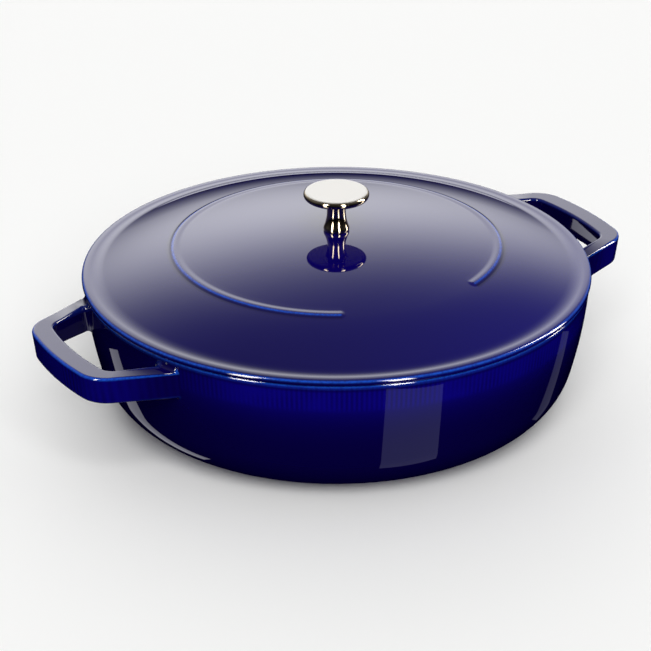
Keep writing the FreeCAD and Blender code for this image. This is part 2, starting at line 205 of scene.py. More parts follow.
def cobaltGlaze():
    # Cobalt glaze, sprayed and fired on cast iron: wet gloss over a deep colour, with fine upright runs
    # below the rim and bright blue where it is thin over an edge; the runs and the thin glaze also carry
    # painted light and shade.
    material, tree, shader = newMaterial("cobaltGlazeOnCastIron")
    where = addNode(tree, "ShaderNodeTexCoord").outputs["Object"]
    thin, runs, ribs = (addNode(tree, "ShaderNodeAttribute", attribute_name=name).outputs["Fac"]
                        for name in ("thinGlaze", "glazeRuns", "glazeRibs"))
    place = addNode(tree, "ShaderNodeSeparateXYZ", {0: where})
    turn = addNode(tree, "ShaderNodeMath", {0: place.outputs[1], 1: place.outputs[0]}, operation="ARCTAN2")
    ribCount = round(2 * np.pi * pot["rimRadius"] / glaze["ribSpacing"])
    noiseLow, noiseHigh = glaze["noiseRange"]
    phase = addNode(tree, "ShaderNodeMath", {0: turn.outputs[0], 1: ribCount}, operation="MULTIPLY")
    wave = addNode(tree, "ShaderNodeMath", {0: phase.outputs[0]}, operation="SINE")
    patches = addNode(tree, "ShaderNodeTexNoise", {
        "Vector": where, "Scale": perMm(glaze["patchSize"]), "Detail": 2.0})
    shown = addNode(tree, "ShaderNodeMapRange", {
        "Value": patches.outputs["Fac"], "From Min": noiseLow, "From Max": noiseHigh,
        "To Max": glaze["ribDepth"]})
    shownHere = addNode(tree, "ShaderNodeMath", {0: shown.outputs[0], 1: ribs}, operation="MULTIPLY")
    darkening = addNode(tree, "ShaderNodeMapRange", {
        "Value": wave.outputs[0], "From Min": -1.0, "To Max": shownHere.outputs[0]})
    kept = addNode(tree, "ShaderNodeMath", {0: 1.0, 1: darkening.outputs[0]}, operation="SUBTRACT")
    level = addNode(tree, "ShaderNodeMath", {0: runs, 1: kept.outputs[0]}, operation="MULTIPLY")
    pooled = addNode(tree, "ShaderNodeMix", {
        "Factor": level.outputs[0], "A": linear(glaze["deep"]), "B": linear(glaze["runs"])},
        data_type="RGBA")
    specks = addNode(tree, "ShaderNodeTexNoise", {
        "Vector": where, "Scale": perMm(glaze["speckSize"]), "Detail": 1.0})
    bareness = addNode(tree, "ShaderNodeMapRange", {
        "Value": specks.outputs["Fac"], "From Min": noiseLow, "From Max": noiseHigh,
        "To Min": glaze["speckLeast"], "To Max": 1.0})
    thinLevel = addNode(tree, "ShaderNodeMath", {0: thin, 1: bareness.outputs[0]}, operation="MULTIPLY")
    colour = addNode(tree, "ShaderNodeMix", {
        "Factor": thinLevel.outputs[0], "A": pooled.outputs["Result"], "B": linear(glaze["thin"])},
        data_type="RGBA")
    tree.links.new(colour.outputs["Result"], shader.inputs["Base Color"])
    waves = addNode(tree, "ShaderNodeTexNoise", {
        "Vector": where, "Scale": perMm(glaze["waveSize"]), "Detail": 1.0})
    bump = addNode(tree, "ShaderNodeBump", {
        "Height": waves.outputs["Fac"], "Distance": glaze["waveDepth"] * mm, "Strength": 1.0})
    tree.links.new(bump.outputs[0], shader.inputs["Normal"])
    shader.inputs["IOR"].default_value = glaze["ior"]
    shader.inputs["Roughness"].default_value = glaze["roughness"]
    return material


matteInside = dict(
    colour="#131315", worn="#1e1e20", ior=1.45, roughness=0.5,
    grain=0.7, grainDepth=0.03,         # mm, pebbles of the rough firing
)


def blackEnamel():
    # Matte black enamel, rough-fired so that it holds oil: a dull, finely pebbled near-black.
    material, tree, shader = newMaterial("matteBlackEnamel")
    where = addNode(tree, "ShaderNodeTexCoord").outputs["Object"]
    pebbles = addNode(tree, "ShaderNodeTexNoise", {
        "Vector": where, "Scale": perMm(matteInside["grain"]), "Detail": 3.0})
    colour = addNode(tree, "ShaderNodeMix", {
        "Factor": pebbles.outputs["Fac"], "A": linear(matteInside["colour"]),
        "B": linear(matteInside["worn"])}, data_type="RGBA")
    tree.links.new(colour.outputs["Result"], shader.inputs["Base Color"])
    bump = addNode(tree, "ShaderNodeBump", {
        "Height": pebbles.outputs["Fac"], "Distance": matteInside["grainDepth"] * mm, "Strength": 1.0})
    tree.links.new(bump.outputs[0], shader.inputs["Normal"])
    shader.inputs["IOR"].default_value = matteInside["ior"]
    shader.inputs["Roughness"].default_value = matteInside["roughness"]
    return material


plating = dict(
    # the stem's and edge's colour is darker and warmer than nickel: painted shade for their dark reflections
    polishedShaded="#b8aa94", faced="#d7d6d4",
    smooth=0.05, rubbed=0.12, satin=0.5,    # roughness where it shines, where it is rubbed and on the top
    rubSize=5.0, rubRange=(0.35, 0.75),     # mm, rubbed patches, and the noise over which they fade in
)


def nickelPlate():
    # Nickel plate on a turned knob: mirror bright on the stem and the edge, whose colour is darker and
    # warmer than the top's as painted shade for their dark reflections, a little rubbed by hands, and satin
    # on the top, which was faced on the lathe.
    material, tree, shader = newMaterial("polishedNickelPlate")
    where = addNode(tree, "ShaderNodeTexCoord").outputs["Object"]
    faced = addNode(tree, "ShaderNodeAttribute", attribute_name="facedTop").outputs["Fac"]
    rubs = addNode(tree, "ShaderNodeTexNoise", {
        "Vector": where, "Scale": perMm(plating["rubSize"]), "Detail": 4.0})
    gloss = addNode(tree, "ShaderNodeMapRange", {
        "Value": rubs.outputs["Fac"], "From Min": plating["rubRange"][0], "From Max": plating["rubRange"][1],
        "To Min": plating["smooth"], "To Max": plating["rubbed"]})
    roughness = addNode(tree, "ShaderNodeMix", {
        "Factor": faced, "A": gloss.outputs[0], "B": plating["satin"]}, data_type="FLOAT")
    tree.links.new(roughness.outputs["Result"], shader.inputs["Roughness"])
    colour = addNode(tree, "ShaderNodeMix", {
        "Factor": faced, "A": linear(plating["polishedShaded"]), "B": linear(plating["faced"])}, data_type="RGBA")
    tree.links.new(colour.outputs["Result"], shader.inputs["Base Color"])
    shader.inputs["Metallic"].default_value = 1.0
    return material


fastenerSteel = dict(colour="#b4b1ab", dull="#8d8a86", roughness=0.3, lay=0.25)     # lay: mm between lines


def stainlessSteel():
    # Stainless steel, turned and stamped: grey, with fine lines left by the tool.
    material, tree, shader = newMaterial("plainStainlessSteel")
    where = addNode(tree, "ShaderNodeTexCoord").outputs["Object"]
    lay = addNode(tree, "ShaderNodeTexNoise", {
        "Vector": where, "Scale": perMm(fastenerSteel["lay"]), "Detail": 2.0})
    colour = addNode(tree, "ShaderNodeMix", {
        "Factor": lay.outputs["Fac"], "A": linear(fastenerSteel["colour"]),
        "B": linear(fastenerSteel["dull"])}, data_type="RGBA")
    tree.links.new(colour.outputs["Result"], shader.inputs["Base Color"])
    shader.inputs["Roughness"].default_value = fastenerSteel["roughness"]
    shader.inputs["Metallic"].default_value = 1.0
    return material


# Pot casting: bowl and two loop handles

potHigh = np.array(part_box("pot")[1]) / mm
pot = dict(                             # mm and degrees
    height=potHigh[2],
    rimRadius=147.1, rimWidth=6.2, rimRound=1.6, lipRound=1.2, wall=4.5,
    wallDraft=3.75, heelDraft=14.5, heelRadius=34.6,
    bandLow=60.0, bandHigh=64.5,        # heights between which the light band under the rim fades in
    runFade=9.5, runShare=0.42,         # mm over which the colour sinks below the band, and its share there
    litSideTurn=-87.0, litSideEdge=(0.1, 0.7),  # painted light: the lit side, and the cosines over which its runs fade in
    rimGlazeAndHighlight=1.0, rimGlazeAndHighlightWidth=0.65,   # thin glaze over the rim's outer edge, also a painted highlight for its light line
    darkLineDrop=3.0, darkLineWidth=0.8, darkLineDepth=0.7,     # darker line just below the rim
    turns=384,
)
blueMaterial, blackMaterial = cobaltGlaze(), blackEnamel()
nickelMaterial, steelMaterial = nickelPlate(), stainlessSteel()
print("materials made")


def wallBow():
    # the wall's arc leans by the heel's draft at its foot and by the wall's draft at the rim
    lean = np.sin(np.radians([pot["heelDraft"], pot["wallDraft"]]))
    return (pot["height"] - pot["rimRound"] - pot["heelRadius"] * (1 - lean[0])) / (lean[0] - lean[1])


bow = wallBow()
bowDraft = np.radians(pot["wallDraft"])
bowCentre = np.array([pot["rimRadius"] - bow * np.cos(bowDraft),
                      pot["height"] - pot["rimRound"] + bow * np.sin(bowDraft)])


def wallRadius(z):
    # outer wall: radius of the bowl at a height
    return bowCentre[0] + np.sqrt(bow**2 - (z - bowCentre[1])**2)


def wallNormal(points):
    # points straight away from the centre of the wall's arc, in the plane through the axis
    out = (wallRadius(points[..., 2:]) - bowCentre[0]) / bow
    level = points[..., :2] / np.linalg.norm(points[..., :2], axis=-1, keepdims=True)
    return np.concatenate([level * out, (points[..., 2:] - bowCentre[1]) / bow], -1)


def bowlSurface():
    # a profile carried round the axis: base, heel arc, bowed wall and rim round outside, then lip, inner
    # wall, inner heel and floor
    heel = np.radians(pot["heelDraft"])
    footLean, rimLean = 90 + pot["heelDraft"], 90 + pot["wallDraft"]
    height, rim, lip = pot["height"], pot["rimRound"], pot["lipRound"]
    heelTop = wallRadius(pot["heelRadius"] * (1 - np.sin(heel)))
    baseRadius = heelTop - pot["heelRadius"] * np.cos(heel)
    heelCentre = (baseRadius, pot["heelRadius"])
    outside = chain(
        line((0, 0), (baseRadius, 0), 8),
        arc(heelCentre, pot["heelRadius"], 180, footLean, 24),
        arc(bowCentre, bow, footLean, rimLean, 34),
        arc((pot["rimRadius"] - rim, height - rim), rim, 90, 0, 9))
    bowlRadius = pot["rimRadius"] - pot["rimWidth"]
    innerHeel = pot["heelRadius"] - pot["wall"]
    foot = np.array(heelCentre) + innerHeel * np.array([np.cos(heel), -np.sin(heel)])
    run, climb = bowlRadius - foot[0], height - lip - foot[1]
    innerBow = np.hypot(run, climb) / (2 * np.sin(heel - np.arctan2(run, climb)))
    innerCentre = foot - innerBow * np.array([np.cos(heel), -np.sin(heel)])
    lipLean = np.degrees(np.arctan2(bowlRadius - innerCentre[0], height - lip - innerCentre[1]))
    inside = chain(
        line((pot["rimRadius"] - rim, height), (bowlRadius + lip, height), 6),
        arc((bowlRadius + lip, height - lip), lip, 0, -90, 7),
        arc(innerCentre, innerBow, lipLean, footLean, 24),
        arc(heelCentre, innerHeel, footLean, 180, 18),
        line((baseRadius, pot["wall"]), (0, pot["wall"]), 8))
    profile = np.concatenate([outside, inside[1:]])
    z = profile[:, 1:]
    # the runs are full in the band and sink below it, by exp((height - bandLow) / runFade)
    sunk = np.exp((np.minimum(z, pot["bandLow"]) - pot["bandLow"]) / pot["runFade"])
    band = smoothStep(pot["bandLow"], pot["bandHigh"], z)
    runs = pot["runShare"] * sunk + (1 - pot["runShare"]) * band
    darkBand = crest(profile, (pot["rimRadius"], height - pot["darkLineDrop"]), pot["darkLineWidth"])
    runs *= 1 - pot["darkLineDepth"] * darkBand
    # painted highlight: the rim's thin glaze is strong enough to stand in for the light line along it
    thin = pot["rimGlazeAndHighlight"] * crest(profile, (pot["rimRadius"], height - rim / 2), pot["rimGlazeAndHighlightWidth"])
    finish = (np.arange(len(profile) - 1) >= len(outside) - 1).astype(int)
    # painted light: the runs show on the side that faces the light, by the cosine of the turn away from it
    turns = fullTurn(pot["turns"])
    litSide = smoothStep(*pot["litSideEdge"], np.cos(turns - np.radians(pot["litSideTurn"])))
    return dict(grid=revolve(profile, turns), finish=finish,
                thinGlaze=thin, glazeRuns=runs * litSide, glazeRibs=band)


loop = dict(                            # mm
    projection=37.3, drop=6.1, thickness=16.4, bar=13.3, inset=1.7, windowInset=2.7, rootDepth=3.844,
    armRoot=57.0, armRootWidth=11.4, armTip=40.0, armTipWidth=7.0,
    corner=19.0, windowCorner=8.9, edge=1.6, edgePoints=9, rootFillet=2.6, hold=0.3,
    plug=1.5, sunk=0.02,                # how far the arms reach into the wall, and the fillet's end sinks
    straightRows=4, searches=40,        # rows along an arm, and halvings that find where it meets the wall
    # paint of the upper outer, upper inner, lower inner and lower outer edges, then of the outside,
    # the top, the window and the underside; the low values of the inner and lower edges, the window and the
    # underside are painted shade
    edgePaint=(0.95, 0.12, 0.1, 0.1), faceRunsAndShade=(0.65, 0.1, 0.0, 0.0), faceRibs=(1, 0, 0, 0),
    edgeFall=1.5,                       # power by which an edge's paint falls off along its round
    rootShadeShare=0.2, rootShadeFade=(4.0, 30.0),     # painted shade at the roots: share of the runs left there, and how far out it rises to 1
)


def halfOutline(reach, root, tip, corner):
    # half of a loop's outline in plan: the bar's arc about the pot's axis, a corner arc that touches
    # it and the arm, and the arm's straight line to its root in the wall
    rootRadius = pot["rimRadius"] - loop["rootDepth"]
    start = np.array([np.sqrt(rootRadius**2 - root**2), root])
    along = unit(np.array([np.sqrt(reach**2 - tip**2), tip]) - start)
    inward = np.array([along[1], -along[0]])
    offset = start + corner * inward
    lead = offset @ along
    touch = start + along * (np.sqrt(lead**2 - offset @ offset + (reach - corner)**2) - lead)
    centre = touch + corner * inward
    barEnd = np.degrees(np.arctan2(centre[1], centre[0]))
    cornerEnd = np.degrees(np.arctan2(-inward[1], -inward[0]))
    # swapped, since arc measures from its second axis
    bar = arc((0, 0), reach, 0, barEnd, 22)[:, ::-1]
    turn = arc(centre[::-1], corner, barEnd, cornerEnd, 18)[:, ::-1]
    return chain(bar, turn), start


def roundedSection(corners, radius, count):
    # four corners of a section, each swapped for an arc that touches its two sides, and a point held
    # just beyond each end of the arc so that the flat sides stay flat
    before, after = np.roll(corners, 1, axis=-2), np.roll(corners, -1, axis=-2)
    toBefore, toAfter = unit(before - corners), unit(after - corners)
    half = np.arccos((toBefore * toAfter).sum(-1, keepdims=True)) / 2
    reach = radius / np.tan(half)
    centre = corners + unit(toBefore + toAfter) * radius / np.sin(half)
    first, last = corners + toBefore * reach, corners + toAfter * reach
    t = np.linspace(0, 1, count)[:, None]
    sweep = between(unit(first - centre)[..., None, :], unit(last - centre)[..., None, :], t)
    rounds = centre[..., None, :] + radius * sweep
    heldFirst = corners + toBefore * (reach + loop["hold"])
    heldLast = corners + toAfter * (reach + loop["hold"])
    whole = np.concatenate([heldFirst[..., None, :], rounds, heldLast[..., None, :]], -2)
    return whole.reshape(*corners.shape[:-2], -1, 3)


def armRows(tip, root):
    # rows from an arm's tip section to the wall: straight along the arm, then a fillet that leaves
    # the arm's face and lands on the wall on a tangent, then a plug inside the wall
    near, far = np.zeros(len(tip)), np.ones(len(tip))
    for _ in range(loop["searches"]):
        middle = (near + far) / 2
        point = tip + middle[:, None] * (root - tip)
        outside = np.hypot(point[:, 0], point[:, 1]) > wallRadius(point[:, 2])
        near, far = np.where(outside, middle, near), np.where(outside, far, middle)
    foot = tip + near[:, None] * (root - tip)
    along = unit(tip - foot)
    around = np.roll(tip, -1, 0) - np.roll(tip, 1, 0)
    face = unit(np.cross(around, along))
    face *= np.sign(((tip - tip.mean(0)) * face).sum())
    wall = wallNormal(foot)
    upFace = unit(wall - (wall * face).sum(-1, keepdims=True) * face)
    upWall = unit(face - (face * wall).sum(-1, keepdims=True) * wall)
    half = np.arccos((upFace * upWall).sum(-1, keepdims=True)) / 2
    reach = loop["rootFillet"] / np.tan(half)
    centre = foot + unit(upFace + upWall) * loop["rootFillet"] / np.sin(half)
    first, last = unit(foot + upFace * reach - centre), unit(foot + upWall * reach - centre)
    t = np.linspace(0, 1, loop["edgePoints"])[:, None, None]
    fillet = centre + loop["rootFillet"] * between(first, last, t)
    proud = np.hypot(fillet[-1, :, 0], fillet[-1, :, 1]) - wallRadius(fillet[-1, :, 2])
    # the fillet's end is drawn down into the wall, by the cube of the way along it
    fillet = fillet - wall * (proud[:, None] + loop["sunk"]) * t**3
    straight = tip + np.linspace(0, 1, loop["straightRows"] + 2)[1:-1, None, None] * (fillet[0] - tip)
    plug = foot - loop["plug"] * wall
    return np.concatenate([straight, fillet, plug[None], np.broadcast_to(plug.mean(0), plug.shape)[None]])


def handleSurface(side):
    # a section of four rounded corners carried round the loop; its lower outline is drawn in outside
    # and opened out round the window
    count = loop["edgePoints"]
    top = pot["height"] - loop["drop"]
    low = top - loop["thickness"]
    reach = pot["rimRadius"] + loop["projection"]
    window = reach - loop["bar"]
    gapRoot, gapTip = loop["armRoot"] - loop["armRootWidth"], loop["armTip"] - loop["armTipWidth"]
    inset, opened = loop["inset"], loop["windowInset"]
    plans = [
        (reach, loop["armRoot"], loop["armTip"], loop["corner"], top),
        (window, gapRoot, gapTip, loop["windowCorner"], top),
        (window + opened, gapRoot + opened, gapTip + opened, loop["windowCorner"], low),
        (reach - inset, loop["armRoot"] - inset, loop["armTip"] - inset, loop["corner"], low),
    ]
    curves, roots = [], []
    for *plan, height in plans:
        outline, start = halfOutline(*plan)
        curves.append(np.column_stack([outline, np.full(len(outline), height)]))
        roots.append(np.array([*start, height]))
    half = roundedSection(np.stack(curves, 1), loop["edge"], count)
    root = roundedSection(np.stack(roots), loop["edge"], count)
    arm = np.concatenate([half, armRows(half[-1], root)])
    mirrored = arm[:0:-1] * np.array([1, -1, 1])
    grid = np.concatenate([mirrored, arm])
    grid = np.concatenate([grid, grid[:, :1]], 1) * np.array([side, 1, 1])
    # paint over each edge, and from the face before it to the face after it
    bend = np.r_[0, np.sin(np.linspace(0, np.pi, count))**loop["edgeFall"], 0]
    ramp = np.r_[0, np.linspace(0, 1, count), 1]
    thin = np.concatenate([share * bend for share in loop["edgePaint"]])
    paint = []
    for shares in (loop["faceRunsAndShade"], loop["faceRibs"]):
        edges = [before + (after - before) * ramp for before, after in zip(shares, shares[1:] + shares[:1])]
        paint.append(np.concatenate(edges))
    thin, runs, ribs = (np.r_[row, row[:1]][None, :] for row in (thin, *paint))
    # painted shade: the runs sink towards the arms' roots, where they meet the wall
    past = np.hypot(grid[..., 0], grid[..., 1]) - pot["rimRadius"]
    runs = runs * (loop["rootShadeShare"] + (1 - loop["rootShadeShare"]) * smoothStep(*loop["rootShadeFade"], past))
    return dict(grid=grid, thinGlaze=thin, glazeRuns=runs, glazeRibs=ribs)


makePiece("potCasting", [bowlSurface(), handleSurface(1), handleSurface(-1)],
          "pot", "pot", [blueMaterial, blackMaterial])

# Lid casting: dome, shoulder, cove and crowned band, with a raised bead and nubs below

lidLow, lidHigh = (np.array(corner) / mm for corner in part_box("lid"))
lid = dict(                             # mm and degrees
    top=lidHigh[2], radius=lidHigh[0], low=lidLow[2], seatOnRim=pot["height"],
    edge=3.3, edgeRound=2.1, edgeUnder=0.8, bandWidth=6.1, coveRadius=19.0,
    bandRise=3.0, bandCrown=18.0,       # how far the cove runs past level, and the crown's radius
    domeDrop=9.0, shoulderRun=53.6, thickness=4.0, play=1.2, knobSeat=8.2, screwHole=3.4,
    ribWidth=3.6, ribRound=0.8, ribLean=250.0,
    beadHeight=0.6, beadInner=4.5, beadOuter=3.2, beadGap=49.6, beadGapTurn=-93.8,
    beadEndSpan=2.6, beadEndTurns=33,   # finer turns at the bead's ends: reach in outer flanks, and count
    leastTurn=1e-4,                     # radians, turns closer than this are the same
    nubRadius=2.4, nubFoot=1.0, nubSunk=0.6, nubPoints=20,
    nubTurn=15.0, nubShares=(0.32, 0.6, 0.88), nubCounts=(6, 12, 18),
    # painted light and shade: less blue towards the front, more towards the lit right
    runs=0.24, shadedFrontTurn=-120.0, litRightShare=0.3, litRightTurn=-65.0,
    edgePaint=0.95, edgePaintLean=48.0, edgePaintWidth=0.65,
    # the bead's paint is thin glaze over its crest; its shade offset and width place painted shade in its
    # outer foot
    beadPaint=0.8, beadPaintOffset=0.6, beadPaintWidth=0.65, beadShadeOffset=2.6, beadShadeWidth=1.1,
    blueRows=4,                         # rows of the underside, from the edge inwards, that are still blue
    turns=400,
)
bandZ = lid["seatOnRim"] + lid["edge"]
domeEdge = lid["radius"] - lid["shoulderRun"]
domeSink = (domeEdge**2 + lid["domeDrop"]**2 - lid["knobSeat"]**2) / (2 * lid["domeDrop"])
domeRadius = np.hypot(domeSink, lid["knobSeat"])
domeCentre = np.array([0, lid["top"] - domeSink])
domeEdgeZ = lid["top"] - lid["domeDrop"]


def lidArcs():
    # the shoulder leaves the dome on a tangent, and touches the cove, which is level where it meets the band
    cove, fall = lid["coveRadius"], lid["top"] - bandZ - lid["domeDrop"]
    run = lid["shoulderRun"] - lid["bandWidth"]
    sine, cosine = domeEdge / domeRadius, (domeSink - lid["domeDrop"]) / domeRadius
    radius = (run**2 + (cove - fall)**2 - cove**2) / (2 * (cove - run * sine - (cove - fall) * cosine))
    centre = np.array([domeEdge, domeEdgeZ]) - radius * np.array([sine, cosine])
    coveCentre = np.array([lid["radius"] - lid["bandWidth"], bandZ + cove])
    slope = np.degrees(np.arctan2(*(coveCentre - centre)))
    return np.degrees(np.arcsin(sine)), slope, centre, radius, coveCentre


def beadTurns():
    # evenly spaced turns, with closer ones where the bead's two ends are rounded
    middle, half = np.radians(lid["beadGapTurn"]), np.radians(lid["beadGap"] / 2)
    span = lid["beadEndSpan"] * lid["beadOuter"] / domeEdge
    fine = [middle + s * half + np.linspace(-span, span, lid["beadEndTurns"]) for s in (-1, 1)]
    back = middle + np.pi
    turns = np.concatenate([np.linspace(back - 2 * np.pi, back, lid["turns"] + 1), *fine])
    turns = np.unique(turns)
    return turns[np.r_[True, np.diff(turns) > lid["leastTurn"]]]


def beadHeights(r, turns):
    # raised cosine across the bead, gentle inside and steep outside; past its ends the distance is
    # taken from the end's centre. Also the thin glaze along a line just outside the crest, and painted
    # shade in the bead's outer foot
    middle, half = np.radians(lid["beadGapTurn"]), np.radians(lid["beadGap"] / 2)
    away = np.abs((turns - middle + np.pi) % (2 * np.pi) - np.pi)
    beyond = np.clip(half + lid["beadOuter"] / domeEdge - away, 0, None)[None, :] * domeEdge
    off = (r - domeEdge)[:, None]
    across = np.hypot(off / np.where(off < 0, lid["beadInner"], lid["beadOuter"]), beyond / lid["beadOuter"])
    lift = lid["beadHeight"] * (0.5 + 0.5 * np.cos(np.pi * np.clip(across, 0, 1)))
    stripe = np.hypot(off - lid["beadPaintOffset"], beyond) / lid["beadPaintWidth"]
    darkBand = np.hypot(off - lid["beadShadeOffset"], beyond) / lid["beadShadeWidth"]
    return lift, lid["beadPaint"] * np.exp(-stripe**2), np.exp(-darkBand**2)


def lidSurface():
    # a profile carried round the axis: knob's seat, dome, shoulder, cove, band and edge on top, then the
    # seat on the rim, locating rib, shoulder, dome and screw hole; the bead lifts the top along its normal
    domeSlope, slope, centre, radius, coveCentre = lidArcs()
    seatLean = np.degrees(np.arcsin(lid["knobSeat"] / domeRadius))
    beadLean = np.degrees(lid["beadInner"] / domeRadius)
    beadTurn = np.degrees(lid["beadOuter"] / radius)
    edgeX, seat = lid["radius"], lid["seatOnRim"]
    ribX = pot["rimRadius"] - pot["rimWidth"] - lid["play"]
    ribIn = ribX - lid["ribWidth"]
    thick, ribRound = lid["thickness"], lid["ribRound"]
    # the cove runs past level into a faint rise, and the band's crown bends down from there to the
    # edge's round
    crown, edgeRound, rise = lid["bandCrown"], lid["edgeRound"], lid["bandRise"]
    crownCentre = onArc(coveCentre, lid["coveRadius"] + crown, 180 - rise)
    crownLean = np.degrees(np.arcsin((edgeX - edgeRound - crownCentre[0]) / (crown - edgeRound)))
    edgeCentre = onArc(crownCentre, crown - edgeRound, crownLean)
    top = chain(
        line((lid["screwHole"], lid["top"]), (lid["knobSeat"], lid["top"]), 5),
        arc(domeCentre, domeRadius, seatLean, domeSlope - beadLean, 26),
        arc(domeCentre, domeRadius, domeSlope - beadLean, domeSlope, 16),
        arc(centre, radius, domeSlope, domeSlope + beadTurn, 14),
        arc(centre, radius, domeSlope + beadTurn, slope, 24),
        arc(coveCentre, lid["coveRadius"], 180 + slope, 180 - rise, 18),
        arc(crownCentre, crown, -rise, crownLean, 9),
        arc(edgeCentre, edgeRound, crownLean, 90, 11),
        arc((edgeX - lid["edgeUnder"], seat + lid["edgeUnder"]), lid["edgeUnder"], 90, 180, 6))
    innerShoulder = radius - thick
    shoulderFoot = onArc(centre, innerShoulder, slope)
    ribFoot = (ribIn + ribRound, lid["low"] + ribRound)
    underSeat = domeCentre[1] + np.sqrt((domeRadius - thick)**2 - lid["knobSeat"]**2)
    under = chain(
        line((edgeX - lid["edgeUnder"], seat), (ribX, seat), 6),
        line((ribX, seat), (ribX, lid["low"] + ribRound), 5),
        arc((ribX - ribRound, lid["low"] + ribRound), ribRound, 90, 180, 5),
        arc(ribFoot, ribRound, 180, lid["ribLean"], 5),
        line(onArc(ribFoot, ribRound, lid["ribLean"]), shoulderFoot, 8),
        arc(centre, innerShoulder, slope, domeSlope, 18),
        arc(domeCentre, domeRadius - thick, domeSlope, seatLean, 20),
        line((lid["knobSeat"], underSeat), (lid["screwHole"], underSeat), 4),
        line((lid["screwHole"], lid["top"] - thick), (lid["screwHole"], lid["top"]), 4))
    profile = np.concatenate([top, under[1:]])
    turns = beadTurns()
    grid = revolve(profile, turns)
    r = profile[:len(top), 0]
    lift, beadPaint, beadShade = beadHeights(r, turns)
    lean = np.where(r < domeEdge, r / domeRadius, (r - centre[0]) / radius).clip(0, 1)[:, None]
    grid[:len(top), :, 0] += lift * lean * np.cos(turns)
    grid[:len(top), :, 1] += lift * lean * np.sin(turns)
    grid[:len(top), :, 2] += lift * np.sqrt(1 - lean**2)
    thinnest = onArc(edgeCentre, edgeRound, lid["edgePaintLean"])
    thin = np.repeat(lid["edgePaint"] * crest(profile, thinnest, lid["edgePaintWidth"]), len(turns), 1)
    thin[:len(top)] = np.maximum(thin[:len(top)], beadPaint)
    finish = (np.arange(len(profile) - 1) >= len(top) - 1 + lid["blueRows"]).astype(int)
    # painted light and shade: the blue sinks towards the front, rises towards the lit right, and painted
    # shade keeps it deep in the foot of the bead;
    # each way goes by (r / radius * cos(turn - way))^2
    ways = np.radians([lid["shadedFrontTurn"], lid["litRightTurn"]])
    front, right = (np.clip(profile[:, :1] / edgeX * np.cos(turns - way), 0, None)**2 for way in ways)
    runs = lid["runs"] * (1 - front) + lid["litRightShare"] * right
    # painted shade in the bead's outer foot
    runs[:len(top)] *= 1 - beadShade
    return dict(grid=grid, finish=finish, thinGlaze=thin, glazeRuns=runs)


def nubSurfaces():
    # a ball half sunk in the underside of the dome, with a small cove round its foot, set out in rings
    ball, foot, sunk = lid["nubRadius"], lid["nubFoot"], lid["nubSunk"]
    sink = np.degrees(np.arcsin(foot / (ball + foot)))
    reach = (ball + foot) * np.cos(np.radians(sink))
    profile = chain(
        line((0, sunk), (reach, sunk), 3),
        line((reach, sunk), (reach, 0), 2),
        arc((reach, -foot), foot, 0, -90 + sink, 4),
        arc((0, 0), ball, 90 + sink, 180, 8))
    shape = revolve(profile, fullTurn(lid["nubPoints"]))
    surfaces = []
    for share, count in zip(lid["nubShares"], lid["nubCounts"]):
        radius = domeEdge * share
        lean = np.arcsin(radius / (domeRadius - lid["thickness"]))
        sinLean, cosLean = np.sin(lean), np.cos(lean)
        z = domeCentre[1] + (domeRadius - lid["thickness"]) * cosLean
        for turn in np.radians(lid["nubTurn"] + 360 / count * np.arange(count)):
            sinTurn, cosTurn = np.sin(turn), np.cos(turn)
            tilt = np.array([[cosTurn * cosLean, -sinTurn, cosTurn * sinLean],
                             [sinTurn * cosLean, cosTurn, sinTurn * sinLean],
                             [-sinLean, 0, cosLean]])
            grid = shape @ tilt.T + np.array([radius * cosTurn, radius * sinTurn, z])
            surfaces.append(dict(grid=grid, finish=np.ones(len(profile) - 1, int)))
    return surfaces


makePiece("lidCasting", [lidSurface(), *nubSurfaces()],
          "lid", "lid", [blueMaterial, blackMaterial])

# Knob

knobLow, knobHigh = (np.array(corner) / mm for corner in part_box("lid_knob"))
knob = dict(                            # mm, with heights above the lid
    low=knobLow[2], height=knobHigh[2] - knobLow[2], radius=knobHigh[0],
    edge=4.3, foot=7.3, footRound=0.25, bulge=7.55, bulgeHeight=1.3, neck=5.5, neckHeight=11.8,
    facedDepth=0.25,                    # how far below the top the edge's round is faced
    turns=144,
)


